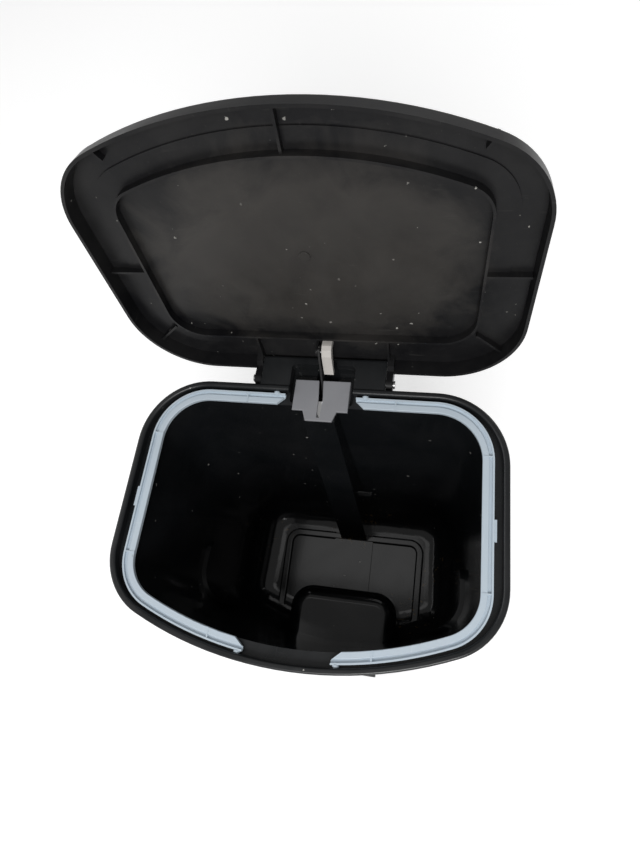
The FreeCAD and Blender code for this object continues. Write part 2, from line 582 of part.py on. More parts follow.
def make_lid_shell():
    """Lid as it lies shut: skirt, top, standing wall, ribs, ears and the link's lug."""
    lean_in = LID_DRAFT - LID_MARGIN
    outer = Part.makeLoft([outline(RIM, LID_LOW, -LID_MARGIN), outline(RIM, LID_TOP, lean_in)],
                          True, True)
    outer = fillet(outer, LID_ROUND, lambda e: e.BoundBox.ZMin > LID_TOP - 0.01)
    inner = Part.makeLoft([outline(RIM, LID_LOW - 1, WALL - LID_MARGIN),
                           outline(RIM, LID_CEILING, WALL + lean_in)], True, True)
    shell = outer.cut(inner)
    # the channel outside the fine step is a little deeper than inside it
    step = prism(RIM, LID_CEILING - STEP_DEPTH, LID_CEILING + 1, STEP_INSET)
    standing = tube(RIM, LID_CEILING - PANEL_WALL_HEIGHT, LID_CEILING + 0.5, PANEL_INSET, PANEL_WALL)
    lid = fuse([shell, step, standing] + lid_ribs())
    # skirt cut away over the hinge block
    cut_half = BLOCK_HALF + EAR_GAP
    lid = lid.cut(box(-cut_half, cut_half, RIM_BACK_Y - 4, RIM_BACK_Y + 30, LID_LOW - 2, LID_CEILING))
    ear = lid_ear()
    hole = rod((-CAN_WIDTH, HINGE_Y, HINGE_Z), (CAN_WIDTH, HINGE_Y, HINGE_Z), PIN_RADIUS + PIN_CLEARANCE)
    lid = lid.fuse(ear).fuse(ear.mirror(Vector(0, 0, 0), Vector(1, 0, 0))).cut(hole)
    # lug that holds the link pin's left end
    x1 = LINK_X - LINK_GAP
    x0 = x1 - LUG_THICK
    foot = LUG_RADIUS + 2
    lug = slab_x([(PIVOT_Y - LUG_RADIUS, PIVOT_Z), (PIVOT_Y + LUG_RADIUS, PIVOT_Z),
                  (PIVOT_Y + foot, LID_CEILING + 0.5), (PIVOT_Y - foot, LID_CEILING + 0.5)], x0, x1)
    lug = lug.fuse(rod((x0, PIVOT_Y, PIVOT_Z), (x1, PIVOT_Y, PIVOT_Z), LUG_RADIUS))
    lug = lug.cut(rod((x0 - 1, PIVOT_Y, PIVOT_Z), (x1 + 1, PIVOT_Y, PIVOT_Z), LINK_PIN_RADIUS))
    gate_low = LID_CEILING - STEP_DEPTH - GATE_HEIGHT
    gate_centre = Vector(0, (RIM_BACK_Y + RIM_FRONT_Y) / 2, gate_low)
    gate = Part.makeCylinder(GATE_RADIUS, STEP_DEPTH + GATE_HEIGHT, gate_centre)
    gate = fillet(gate, GATE_HEIGHT / 2, lambda e: e.BoundBox.ZMax < gate_low + 0.1)
    return fuse([lid, lug, gate])


def make_lift_arm():
    """Light bent arm under the shut lid, from the hinge side to its foot on the lid's top."""
    ceiling = LID_CEILING - STEP_DEPTH
    outer = [(HINGE_Y - v, HINGE_Z + w) for v, w in ARM_OUTER]
    inner = [(HINGE_Y - v, HINGE_Z + w) for v, w in ARM_INNER]
    top = [(outer[-1][0], ceiling), (inner[0][0], ceiling)]
    arm = slab_x(outer + top + inner, *ARM_X)
    arm = fillet(arm, ARM_ROUND,
                 lambda e: e.BoundBox.XLength > ARM_X[1] - ARM_X[0] - 0.01 and e.BoundBox.ZMax < ceiling - 1)
    return arm.cut(rod((ARM_X[0] - 1, PIVOT_Y, PIVOT_Z), (ARM_X[0] + ARM_PIN, PIVOT_Y, PIVOT_Z),
                       LINK_PIN_RADIUS))


def make_link_pin():
    """Short steel pin from the lid's lug through the link into the lift arm."""
    return rod((LINK_X - LINK_GAP - LUG_THICK, PIVOT_Y, PIVOT_Z),
               (ARM_X[0] + ARM_PIN, PIVOT_Y, PIVOT_Z), LINK_PIN_RADIUS)


# ------------------------------------------------------------------ lift link and rod
def link_swing():
    """Degrees that the link itself turns while the lid shuts."""
    dy, dz = rod_direction()
    low_y = ROD_PIN[0] - dy * ROD_TRAVEL
    low_z = ROD_PIN[1] - dz * ROD_TRAVEL
    return LINK_LEAN - math.degrees(math.atan2(PIVOT_Y - low_y, PIVOT_Z - low_z))


def rod_pin_in_link(share):
    """Rod pin as seen from the link (across, along) when the lid has shut by share."""
    top = lid_point(PIVOT_Y, PIVOT_Z, LID_OPEN_ANGLE * (1 - share))
    dy, dz = rod_direction()
    pin = (ROD_PIN[0] - dy * ROD_TRAVEL * share, ROD_PIN[1] - dz * ROD_TRAVEL * share)
    lean = math.radians(LINK_LEAN - link_swing() * share)
    py = pin[0] - top[0]
    pz = pin[1] - top[1]
    return py * math.cos(lean) - pz * math.sin(lean), -py * math.sin(lean) - pz * math.cos(lean)


def make_lift_link():
    """Flat strip from the lid's lug to the rod, with a long slot at its lower end."""
    path = [rod_pin_in_link(k / 12.0) for k in range(13)]
    across = [p[0] for p in path]
    along = [p[1] for p in path]
    x0 = LINK_X - LINK_THICK / 2
    x1 = LINK_X + LINK_THICK / 2
    room = LINK_PIN_RADIUS + 0.5
    head_half = LINK_DEPTH / 2
    left = min(across) - room - 2.5
    right = max(across) + room + 2.5
    low = max(along) + room + 3.0
    high = min(along) - room - 3.0
    bar = slab_x([(-head_half, LINK_HEAD), (head_half, LINK_HEAD), (head_half, -high + 6), (right, -high),
                  (right, -low), (left, -low), (left, -high), (-head_half, -high + 6)], x0, x1)
    bar = fillet(bar, 1.8, lambda e: abs(e.BoundBox.XLength - LINK_THICK) < 0.01 and e.BoundBox.ZMin > 0)
    slot_left = min(across) - room
    slot_right = max(across) + room
    slot_high = room - min(along)
    slot_low = -max(along) - room
    slot = slab_x([(slot_left, slot_high), (slot_right, slot_high), (slot_right, slot_low),
                   (slot_left, slot_low)], x0 - 1, x1 + 1)
    slot = fillet(slot, room - 0.2, lambda e: abs(e.BoundBox.XLength - LINK_THICK - 2) < 0.01)
    bar = bar.cut(slot).cut(rod((x0 - 1, 0, 0), (x1 + 1, 0, 0), LINK_PIN_RADIUS + PIN_CLEARANCE))
    bar.rotate(Vector(0, 0, 0), Vector(1, 0, 0), -LINK_LEAN)
    bar.translate(Vector(0, LINK_TOP[0], LINK_TOP[1]))
    return bar


def lever_end():
    """Upper face of the lever at its rear end, pedal down, as (y, z)."""
    a = math.radians(LEVER_REAR_ANGLE)
    return (AXLE_Y + LEVER_REAR * math.cos(a), AXLE_Z + LEVER_REAR * math.sin(a) + LEVER_THICK / 2)


def make_push_rod():
    """Long rod in the duct: foot on the lever, straight bar, forked head on the link."""
    dy, dz = rod_direction()
    end_y, end_z = lever_end()
    foot_z = end_z + ROD_FOOT_LIFT
    foot_y = end_y - ROD_FOOT_INSET
    head_z = ROD_PIN[1] - FORK_DROP
    head_y = foot_y + (head_z - foot_z) * dy / dz
    half = ROD_THICK / 2
    left = LINK_X - ROD_WIDTH / 2
    right = LINK_X + ROD_WIDTH / 2
    bar = slab_x([(foot_y - half, foot_z), (foot_y + half, foot_z), (head_y + half, head_z),
                  (head_y - half, head_z)], left, right)
    foot = rod((left, foot_y, foot_z), (right, foot_y, foot_z), ROD_FOOT_ROUND)
    gap = LINK_THICK / 2 + 0.5
    cheeks = []
    pin_y, pin_z = ROD_PIN
    profile = [(head_y - half, head_z - 12), (head_y + half, head_z - 12), (pin_y + CHEEK, pin_z - 3),
               (pin_y + CHEEK, pin_z + CHEEK), (pin_y - CHEEK, pin_z + CHEEK)]
    for x0, x1 in ((left, LINK_X - gap), (LINK_X + gap, right)):
        cheeks.append(slab_x(profile, x0, x1))
    bar = bar.cut(box(LINK_X - gap, LINK_X + gap, -50, 400, pin_z - FORK_GAP_DROP, 900))
    solid = fuse([bar, foot] + cheeks)
    return solid.cut(rod((left - 1, pin_y, pin_z), (right + 1, pin_y, pin_z), LINK_PIN_RADIUS))


def make_rod_pin():
    """Pin in the rod's fork, running in the link's slot."""
    half = ROD_WIDTH / 2
    return rod((LINK_X - half, *ROD_PIN), (LINK_X + half, *ROD_PIN), LINK_PIN_RADIUS)


def make_guide_cover():
    """Grey cover over the duct's mouth, with a narrow bent slot for the link."""
    low = COVER_TOP - COVER_THICK
    y0 = RIM_BACK_Y - COVER_FRONT
    y1 = RIM_BACK_Y + COVER_BACK
    root = COVER_TAB_HALF + COVER_TAB_TAPER
    tip = COVER_TAB_HALF - COVER_TAB_TAPER
    points = [(-COVER_HALF, y1), (COVER_HALF, y1), (COVER_HALF, y0), (root, y0), (tip, y0 - COVER_TAB),
              (-tip, y0 - COVER_TAB), (-root, y0), (-COVER_HALF, y0)]
    wire = Part.makePolygon([Vector(x, y, low) for x, y in points + points[:1]])
    plate = Part.Face(wire).extrude(Vector(0, 0, COVER_THICK))
    plate = fillet(plate, COVER_ROUND, lambda e: e.BoundBox.ZMin > COVER_TOP - 0.01)
    legs = []
    for side in (-1, 1):
        x = side * (COVER_HALF - 1.0)
        legs.append(box(x - 1.0, x + 1.0, LEDGE_BACK_Y + 0.3, y1, RIM_TOP - POCKET_DEPTH, low + 1))
    middle_y = (y1 + MOUTH_FRONT_Y) / 2
    left = LINK_X - SLOT_SIDE
    right = LINK_X + SLOT_SIDE
    bends = [(left - SLOT_BEND, y1 + 1), (left, middle_y), (left, MOUTH_FRONT_Y),
             (right + SLOT_BEND / 2, MOUTH_FRONT_Y), (right + SLOT_BEND, middle_y), (right, y1 + 1)]
    wire = Part.makePolygon([Vector(x, y, low - 1) for x, y in bends + bends[:1]])
    slot = Part.Face(wire).extrude(Vector(0, 0, COVER_THICK + 2))
    return fuse([plate] + legs).cut(slot)


# ------------------------------------------------------------------ bag rings
def ring_peg(root_y, tip_y):
    """Peg at one end of a ring, with a collar against the ring's lip."""
    way = 1 if tip_y > root_y else -1
    peg = rod((RING_PIVOT_X, root_y, RING_AXIS_Z), (RING_PIVOT_X, tip_y, RING_AXIS_Z), RING_PEG_RADIUS)
    collar_y = root_y + way * RING_PEG_ROOT
    collar = rod((RING_PIVOT_X, collar_y, RING_AXIS_Z),
                 (RING_PIVOT_X, collar_y + way * RING_COLLAR_LENGTH, RING_AXIS_Z), RING_COLLAR)
    return peg.fuse(collar)


def ring_end_cut(x, inner_y, way, low, top):
    """Wedge that slants off the inner corner at one end of a ring."""
    corner = [(x - 1, inner_y - way), (x + RING_CHAMFER + 1, inner_y - way),
              (x - 1, inner_y + way * RING_CHAMFER)]
    wire = Part.makePolygon([Vector(px, py, low - 1) for px, py in corner + corner[:1]])
    return Part.Face(wire).extrude(Vector(0, 0, top - low + 2))


def make_bag_ring(side):
    """Half ring on the ledge: thin lip, channel and wide band, with a peg at each end."""
    top = RING_TOP
    low = top - RING_HEIGHT
    width = RING_IN_INSET - RING_OUT_INSET
    plate = tube(RING, low, low + RING_PLATE, RING_OUT_INSET, width)
    lip = tube(RING, low, top, RING_OUT_INSET, RING_LIP)
    band = tube(RING, low, top - RING_BAND_DROP, RING_IN_INSET - RING_BAND, RING_BAND)
    band = fillet(band, RING_SOFT, lambda e: e.BoundBox.ZMin > top - RING_BAND_DROP - 0.01)
    ring = fuse([plate, lip, band])
    back_part = box(RING_TIP_BACK_X, 400, 0, 400, 0, 900)
    front_part = box(RING_TIP_FRONT_X, 400, -400, 0, 0, 900)
    ring = ring.common(back_part.fuse(front_part))
    span = tube(RING, low, top - RING_WEB_DROP, RING_OUT_INSET, width)
    web_x = RING_PIVOT_X + RING_WEB_X
    webs = [box(web_x, web_x + RING_WEB, y0, y0 + 60, low, top).common(span)
            for y0 in (RIM_FRONT_Y, RIM_BACK_Y - 60)]
    webs += [box(100, 400, y, y + RING_WEB, low, top).common(span) for y in RING_SIDE_WEBS]
    tab = box(100, 400, RING_TAB_Y - RING_TAB_HALF, RING_TAB_Y + RING_TAB_HALF, low + 1.0, top - 1.0)
    webs.append(tab.common(tube(RING, low, top, RING_OUT_INSET - RING_TAB_REACH, RING_TAB_REACH + 1)))
    back_root = RING["back"] - RING_OUT_INSET - RING_PEG_ROOT
    front_root = RING["front"] + RING_OUT_INSET + RING_PEG_ROOT + RING_FRONT_SLANT
    pegs = [ring_peg(back_root, RIM_BACK_Y - 3.0), ring_peg(front_root, RIM_FRONT_Y + 5.6)]
    ring = fuse([ring] + webs + pegs)
    ring = ring.cut(ring_end_cut(RING_TIP_BACK_X, RING["back"] - RING_IN_INSET, 1, low, top))
    front_inner = RING["front"] + RING_IN_INSET + RING_FRONT_SLANT
    ring = ring.cut(ring_end_cut(RING_TIP_FRONT_X, front_inner, -1, low, top))
    if side < 0:
        ring = ring.mirror(Vector(0, 0, 0), Vector(1, 0, 0))
    return ring


# ------------------------------------------------------------------ base and pedal
def make_base_plate():
    """Plate that closes the base and holds the lever's axle in two saddles."""
    plate = prism(BASE, FOOT_HEIGHT, PLATE_TOP, -WALL - 0.3)
    rib = tube(BASE, PLATE_TOP - 0.5, PLATE_TOP + PLATE_RIB, PLATE_GAP, PLATE_RIB_THICK)
    rib = rib.cut(box(-DOME_HALF - 6, DOME_HALF + 6, -300, DOME_BACK_Y - 20, 0, 60))
    rib = rib.cut(box(-STRIP_HALF, STRIP_HALF, 0, 300, PLATE_TOP, 60))
    pad_x, pad_y = PAD_HALF
    pad = rounded_box(-pad_x, pad_x, -pad_y, pad_y, 0, FOOT_HEIGHT + 1, PAD_RADIUS)
    parts = [plate, rib, pad]
    for side in (-1, 1):
        x = side * SADDLE_X
        saddle = slab_x([(AXLE_Y - 8, PLATE_TOP - 0.5), (AXLE_Y + 8, PLATE_TOP - 0.5),
                         (AXLE_Y + 5, AXLE_Z + 4.6), (AXLE_Y - 5, AXLE_Z + 4.6)], x - 2.5, x + 2.5)
        parts.append(saddle)
    body = fuse(parts)
    for x, y in screw_places():
        body = body.cut(rod((x, y, 0), (x, y, PLATE_TOP + 1), SCREW_RADIUS + 0.3))
        body = body.cut(rod((x, y, 0), (x, y, FOOT_HEIGHT + SCREW_HEAD), SCREW_HEAD_RADIUS + 0.3))
    return body.cut(rod((-40, AXLE_Y, AXLE_Z), (40, AXLE_Y, AXLE_Z), AXLE_RADIUS))


def make_axle():
    """Steel axle of the pedal lever."""
    return rod((-SADDLE_X - 4, AXLE_Y, AXLE_Z), (SADDLE_X + 4, AXLE_Y, AXLE_Z), AXLE_RADIUS)


def make_pedal_lever():
    """Bent lever: rear arm under the rod, front arm out to the tread."""
    t = LEVER_THICK / 2
    rear = box(-LEVER_HALF, LEVER_HALF, 0, LEVER_REAR, -t, t)
    for x in (-LEVER_HALF, LEVER_HALF):
        rear = rear.cut(box(x - LEVER_NECK, x + LEVER_NECK, 20, 90, -9, 9))
    front = box(-LEVER_HALF, LEVER_HALF, -LEVER_FRONT - TREAD_LENGTH / 2 + 4, 0, -t, t)
    front.rotate(Vector(0, 0, 0), Vector(1, 0, 0), -LEVER_BEND)
    hub = rod((-LEVER_HALF, 0, 0), (LEVER_HALF, 0, 0), AXLE_RADIUS + 2.4)
    lever = fuse([rear, front, hub])
    lever = lever.cut(rod((-50, 0, 0), (50, 0, 0), AXLE_RADIUS + AXLE_CLEARANCE))
    lever.rotate(Vector(0, 0, 0), Vector(1, 0, 0), LEVER_REAR_ANGLE)
    lever.translate(Vector(0, AXLE_Y, AXLE_Z))
    return lever


def make_pedal_tread():
    """Pressed cover of the pedal, wrapped over the lever's front end."""
    t = LEVER_THICK / 2
    y0 = -LEVER_FRONT - TREAD_LENGTH / 2
    tread = box(-TREAD_HALF, TREAD_HALF, y0, y0 + TREAD_LENGTH, t, t + TREAD_THICK)
    lip = box(-TREAD_HALF, TREAD_HALF, y0, y0 + 3.0, -t - 4, t + 1)
    tread = fuse([tread, lip])
    nose = [e for e in tread.Edges if e.BoundBox.XLength > 2 * TREAD_HALF - 1
            and e.BoundBox.ZMin > t + 1 and e.BoundBox.YMin < y0 + 1]
    tread = tread.makeFillet(2.0, nose)
    corners = [e for e in tread.Edges if e.BoundBox.ZLength > TREAD_THICK - 0.1
               and e.BoundBox.YMin > y0 + TREAD_LENGTH - 1 and e.BoundBox.XLength < 0.01]
    tread = tread.makeFillet(TREAD_CORNER, corners)
    tread.rotate(Vector(0, 0, 0), Vector(1, 0, 0), LEVER_REAR_ANGLE - LEVER_BEND)
    tread.translate(Vector(0, AXLE_Y, AXLE_Z))
    return tread


def foot_places():
    """Plan positions of the four feet."""
    x = CAN_WIDTH / 2.0 - SIDE_TAPER - FOOT_INSET
    rear_y = BASE_DEPTH / 2.0 - FOOT_INSET_REAR
    front_y = FOOT_INSET_FRONT - BASE_DEPTH / 2.0
    return {"front_left": (-x, front_y), "front_right": (x, front_y),
            "rear_left": (-x, rear_y), "rear_right": (x, rear_y)}


def make_foot(x, y):
    """Round rubber pad under the base plate."""
    pad = Part.makeCylinder(FOOT_RADIUS, FOOT_HEIGHT, Vector(x, y, 0))
    return fillet(pad, 0.8, lambda e: e.BoundBox.ZMax < 0.01)


# ------------------------------------------------------------------ build
nodes = {
    "body_shell": make_body_shell(),
    "rod_guide_cover": make_guide_cover(),
    "base_plate": make_base_plate(),
    "base_screws": make_base_screws(),
    "lever_axle": make_axle(),
    "pedal_lever": make_pedal_lever(),
    "pedal_tread": make_pedal_tread(),
    "push_rod": make_push_rod(),
    "rod_pin": make_rod_pin(),
    "lift_link": make_lift_link(),
    "lid_shell": turned(make_lid_shell(), LID_OPEN_ANGLE),
    "lid_link_pin": turned(make_link_pin(), LID_OPEN_ANGLE),
    "lift_arm": turned(make_lift_arm(), LID_OPEN_ANGLE),
    "hinge_pin_left": make_hinge_pin(-1),
    "hinge_pin_right": make_hinge_pin(1),
    "bag_ring_left": make_bag_ring(-1),
    "bag_ring_right": make_bag_ring(1),
}
for place, (x, y) in foot_places().items():
    nodes["foot_" + place] = make_foot(x, y)

os.makedirs("parts", exist_ok=True)
for name, shape in nodes.items():
    shape.exportStep("parts/" + name + ".step")
    print(name, "solids", len(shape.Solids), "valid", shape.isValid(), "volume", round(shape.Volume))
print("link swing", round(link_swing(), 2), "rod pin", [round(v, 1) for v in ROD_PIN])
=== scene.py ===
# %% [markdown]
# # A pedal bin with its lid open
#
# The bin was designed in CAD: the body, the lid, the hinge, the pedal gear and the bag rings
# arrive here as finished solids, each riding on its own moving body. This lesson gives them
# their looks. It sets up a camera and a soft studio, builds the plastics, the rubber and the
# steel as procedural materials, and dresses each solid in its own finish. No shape is added,
# because every visible detail was moulded in CAD.
#
# Everything is in metres, with +Z up, the pedal towards -Y and the hinge towards +Y.

import json

import bpy
import numpy as np
from mathutils import Matrix, Vector


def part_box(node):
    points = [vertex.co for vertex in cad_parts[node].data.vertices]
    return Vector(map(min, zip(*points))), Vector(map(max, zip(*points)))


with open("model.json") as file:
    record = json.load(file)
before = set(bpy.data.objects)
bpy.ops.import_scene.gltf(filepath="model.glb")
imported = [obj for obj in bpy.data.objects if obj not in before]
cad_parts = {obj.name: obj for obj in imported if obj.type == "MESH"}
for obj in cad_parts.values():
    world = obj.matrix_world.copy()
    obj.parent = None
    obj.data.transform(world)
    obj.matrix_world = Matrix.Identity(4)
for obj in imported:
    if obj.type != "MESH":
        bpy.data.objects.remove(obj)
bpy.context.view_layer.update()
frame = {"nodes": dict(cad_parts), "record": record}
nodes = frame["nodes"]
print("nodes:", len(nodes))

# %% [markdown]
# ## The places that everything else is measured from
#
# A node's box gives its lowest and highest corners. The camera is set from the hinge, and the
# lights aim at the middle of the rim, so both are worked out once here.

# %% Landmarks
body_low, body_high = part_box("body_shell")
pin_low, pin_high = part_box("hinge_pin_left")
rim_height = body_high.z
rim_middle = Vector((0, (body_low.y + body_high.y) / 2, rim_height))
hinge_line = (pin_low + pin_high) / 2
print("rim at", round(rim_height, 4), "hinge at", tuple(round(v, 4) for v in hinge_line))

# %% [markdown]
# ## The camera
#
# Someone stands at the front right of the bin and looks steeply down into it, with the camera
# tipped over to one side. A camera looks along its own -Z, so its rotation can be written as
# three columns: where its right, its up and its back point. They come from three angles: the
# heading round the bin, the height above the horizon, and the roll about the line of sight.
# Building the matrix by hand keeps the roll separate from the other two, which Euler angles
# would mix together.

# %% Camera
HEADING = np.radians(36.6)
HEIGHT_ANGLE = np.radians(69.0)
ROLL = np.radians(-30.9)
LENS_MM = 25.74
SENSOR_MM = 36.0
CAMERA_FROM_HINGE = Vector((0.1203, -0.2021, 0.514))


def camera_axes(heading, height_angle, roll):
    """The right, up and back directions: back points from the bin to the camera, right is level
    before the roll, and the roll turns right and up about back."""
    level = np.cos(height_angle)
    back = np.array(
        [np.sin(heading) * level, -np.cos(heading) * level, np.sin(height_angle)]
    )
    right = np.cross(-back, [0, 0, 1])
    right /= np.linalg.norm(right)
    up = np.cross(back, right)
    rolled_right = right * np.cos(roll) + up * np.sin(roll)
    rolled_up = up * np.cos(roll) - right * np.sin(roll)
    return rolled_right, rolled_up, back


def place_camera():
    """The camera, at its place from the hinge and turned to those axes."""
    data = bpy.data.cameras.new("camera")
    data.lens = LENS_MM
    data.sensor_width = SENSOR_MM
    data.clip_start = 0.01
    camera = bpy.data.objects.new("camera", data)
    bpy.context.scene.collection.objects.link(camera)
    turn = Matrix(np.column_stack(camera_axes(HEADING, HEIGHT_ANGLE, ROLL)).tolist())
    place = Vector((0, hinge_line.y, hinge_line.z)) + CAMERA_FROM_HINGE
    camera.matrix_world = Matrix.Translation(place) @ turn.to_4x4()
    bpy.context.scene.camera = camera
    return camera


camera = place_camera()
print("camera at", tuple(round(v, 3) for v in camera.location))

# %% [markdown]
# ## Floor and light
#
# The floor is one large pale sheet. Black plastic shows almost nothing but reflections, so the
# lights are chosen for what they look like in the gloss: one broad soft light above the front
# edge, a weak narrow one almost overhead that shows in the bin's floor and on its raised frame,
# and two weak fills at the left and at the back. The air lights the bin less than it looks,
# because a bright room all round would turn black plastic grey.

# %% Floor
FLOOR_HALF = 4.0
FLOOR_GREY = 0.9
FLOOR_GLOW = 0.36
FLOOR_ROUGHNESS = 0.8


def pale_floor():
    """A flat square, twice FLOOR_HALF on a side, at height zero."""
    mesh = bpy.data.meshes.new("studio_floor")
    edge = FLOOR_HALF
    corners = [(-edge, -edge, 0), (edge, -edge, 0), (edge, edge, 0), (-edge, edge, 0)]
    mesh.from_pydata(corners, [], [(0, 1, 2, 3)])
    floor = bpy.data.objects.new("studio_floor", mesh)
    bpy.context.scene.collection.objects.link(floor)
    material = bpy.data.materials.new("pale_floor")
    material.use_nodes = True
    shader = material.node_tree.nodes["Principled BSDF"]
    shader.inputs["Base Color"].default_value = (FLOOR_GREY, FLOOR_GREY, FLOOR_GREY, 1)
    shader.inputs["Roughness"].default_value = FLOOR_ROUGHNESS
    shader.inputs["Emission Color"].default_value = (1, 1, 1, 1)
    shader.inputs["Emission Strength"].default_value = FLOOR_GLOW
    mesh.materials.append(material)
    return floor


print("floor:", pale_floor().name)


# %% Lights
def soft_light(name, place, power, size, aim=rim_middle, depth=None):
    """An area light of that size, turned to face the aim; depth makes it a rectangle."""
    data = bpy.data.lights.new(name, "AREA")
    data.energy = power
    data.size = size
    if depth:
        data.shape = "RECTANGLE"
        data.size_y = depth
    light = bpy.data.objects.new(name, data)
    bpy.context.scene.collection.objects.link(light)
    light.location = place
    light.rotation_euler = (aim - Vector(place)).to_track_quat("-Z", "Y").to_euler()
    return light


soft_light("key", place=(0.25, -1.25, 1.75), power=27, size=0.9)
soft_light(
    "ceiling", place=(-0.27, 0.2, 1.9), power=0.36, size=0.62, depth=0.26,
    aim=Vector((-0.27, 0.21, 0)),
)
soft_light("left_fill", place=(-1.7, 0.1, 1.3), power=8, size=1.4)
soft_light("back_fill", place=(0.5, 1.6, 1.5), power=7, size=1.4)
print("lights:", sorted(light.name for light in bpy.data.lights))

# %% Air
AIR_LIGHT = 0.3
AIR_SEEN = 0.85


def pale_air():
    """A white world that lights with AIR_LIGHT and looks AIR_SEEN bright to the camera."""
    world = bpy.data.worlds.new("studio_air")
    world.use_nodes = True
    air = world.node_tree
    seen = air.nodes.new("ShaderNodeLightPath").outputs["Is Camera Ray"]
    strength = air.nodes.new("ShaderNodeMapRange")
    strength.inputs["To Min"].default_value = AIR_LIGHT
    strength.inputs["To Max"].default_value = AIR_SEEN
    air.links.new(seen, strength.inputs["Value"])
    air.nodes["Background"].inputs["Color"].default_value = (1, 1, 1, 1)
    air.links.new(strength.outputs[0], air.nodes["Background"].inputs["Strength"])
    bpy.context.scene.world = world


pale_air()
bpy.context.scene.view_settings.view_transform = "Standard"
print("air:", AIR_LIGHT, "as light,", AIR_SEEN, "to the camera")

# %% [markdown]
# ## A small helper for wiring nodes
#
# Materials are graphs of nodes. `add` makes one node and fills its inputs: a socket is linked,
# and anything else is set as the input's value. `effect_group` makes a reusable group with
# named inputs and outputs, so grain, dust and scuffs are each worked out once and then placed
# in every material with their own values.

# %% Node helpers
SOCKET_TYPES = {
    "value": "NodeSocketFloat",
    "vector": "NodeSocketVector",
    "colour": "NodeSocketColor",
}


def add(tree, kind, inputs=None, **settings):
    """One node, with its settings, and its inputs linked to sockets or set to values."""
    node = tree.nodes.new(kind)
    for name, value in settings.items():
        setattr(node, name, value)
    for name, value in (inputs or {}).items():
        socket = node.inputs[name]
        if isinstance(value, bpy.types.NodeSocket):
            tree.links.new(value, socket)
        else:
            socket.default_value = value
    return node


def sums(tree, operation, *values, clamp=False):
    """A Math node's output for one, two or three values."""
    numbers = dict(enumerate(values))
    node = add(tree, "ShaderNodeMath", numbers, operation=operation, use_clamp=clamp)
    return node.outputs[0]


def stretch(tree, value, low, high, to_low=0.0, to_high=1.0):
    """A value carried from one range to another and clamped there."""
    inputs = {1: low, 2: high, 3: to_low, 4: to_high, "Value": value}
    return add(tree, "ShaderNodeMapRange", inputs).outputs[0]


def blend_colour(tree, factor, first, second):
    """The colour between two colours, at the factor."""
    inputs = {"Factor": factor, 6: first, 7: second}
    return add(tree, "ShaderNodeMix", inputs, data_type="RGBA").outputs[2]


def effect_group(name, inputs, outputs):
    """An empty group: inputs are (name, type, value) and outputs (name, type)."""
    tree = bpy.data.node_groups.new(name, "ShaderNodeTree")
    for label, kind, value in inputs:
        socket = tree.interface.new_socket(
            label, in_out="INPUT", socket_type=SOCKET_TYPES[kind]
        )
        if value is not None:
            socket.default_value = value
    for label, kind in outputs:
        tree.interface.new_socket(
            label, in_out="OUTPUT", socket_type=SOCKET_TYPES[kind]
        )
    source = tree.nodes.new("NodeGroupInput")
    sink = tree.nodes.new("NodeGroupOutput")
    return tree, source.outputs, sink.inputs


def place_group(tree, group, inputs):
    """The group placed in a material: returns its outputs."""
    return add(tree, "ShaderNodeGroup", inputs, node_tree=group).outputs


# %% [markdown]
# ## Moulded grain
#
# A steel mould is spark-eroded, and it leaves the plastic with a fine pebbled skin. Two sizes
# of noise added together give it: small pebbles, and a broad, very shallow swell where the
# plastic shrank as it cooled. The group puts out a height, which a Bump node in the material
# turns into normals.

# %% Group: moulded grain
grain_group, given, out = effect_group(
    "moulded_grain",
    [
        ("Place", "vector", None),
        ("Pebbles per metre", "value", 900.0),
        ("Pebble height", "value", 0.2),
        ("Swell height", "value", 1.0),
    ],
    [("Height", "value")],
)
pebbles = add(
    grain_group,
    "ShaderNodeTexNoise",
    {"Vector": given["Place"], "Scale": given["Pebbles per metre"], "Detail": 3.0},
)
swell = add(
    grain_group, "ShaderNodeTexNoise", {"Vector": given["Place"], "Scale": 14.0, "Detail": 1.0}
)
pebble_part = sums(
    grain_group, "MULTIPLY", pebbles.outputs[0], given["Pebble height"]
)
swell_part = sums(grain_group, "MULTIPLY", swell.outputs[0], given["Swell height"])
grain_group.links.new(
    sums(grain_group, "ADD", pebble_part, swell_part), out["Height"]
)
print("group:", grain_group.name)

# %% [markdown]
# ## Dust
#
# Dust on black plastic is the detail the eye finds first. It comes in two forms: separate
# specks, and a thin film that lies thicker in some places. A Voronoi texture gives each speck
# its own cell: the distance from the cell's centre draws the dot, and the cell's own random
# colour decides whether there is a speck in it at all and how large it is.

# %% Group: dust
dust_group, given, out = effect_group(
    "dust",
    [
        ("Place", "vector", None),
        ("Cells per metre", "value", 160.0),
        ("Share with specks", "value", 0.2),
        ("Film", "value", 0.1),
    ],
    [("Specks", "value"), ("Film", "value")],
)
wobble = add(
    dust_group, "ShaderNodeTexNoise", {"Vector": given["Place"], "Scale": 420.0}
)
shaken = add(
    dust_group,
    "ShaderNodeVectorMath",
    {0: wobble.outputs["Color"], 1: (0.003, 0.003, 0.003), 2: given["Place"]},
    operation="MULTIPLY_ADD",
)
cells = add(
    dust_group,
    "ShaderNodeTexVoronoi",
    {"Vector": shaken.outputs[0], "Scale": given["Cells per metre"]},
)
draw = add(dust_group, "ShaderNodeSeparateColor", {"Color": cells.outputs["Color"]})
present = sums(dust_group, "LESS_THAN", draw.outputs[0], given["Share with specks"])
radius = stretch(dust_group, draw.outputs[1], 0.0, 1.0, 0.05, 0.22)
inside = sums(dust_group, "SUBTRACT", radius, cells.outputs["Distance"])
dot = stretch(dust_group, inside, 0.0, 0.05)
speck = sums(dust_group, "MULTIPLY", dot, present)
dust_group.links.new(
    sums(dust_group, "MULTIPLY", speck, draw.outputs[2]), out["Specks"]
)
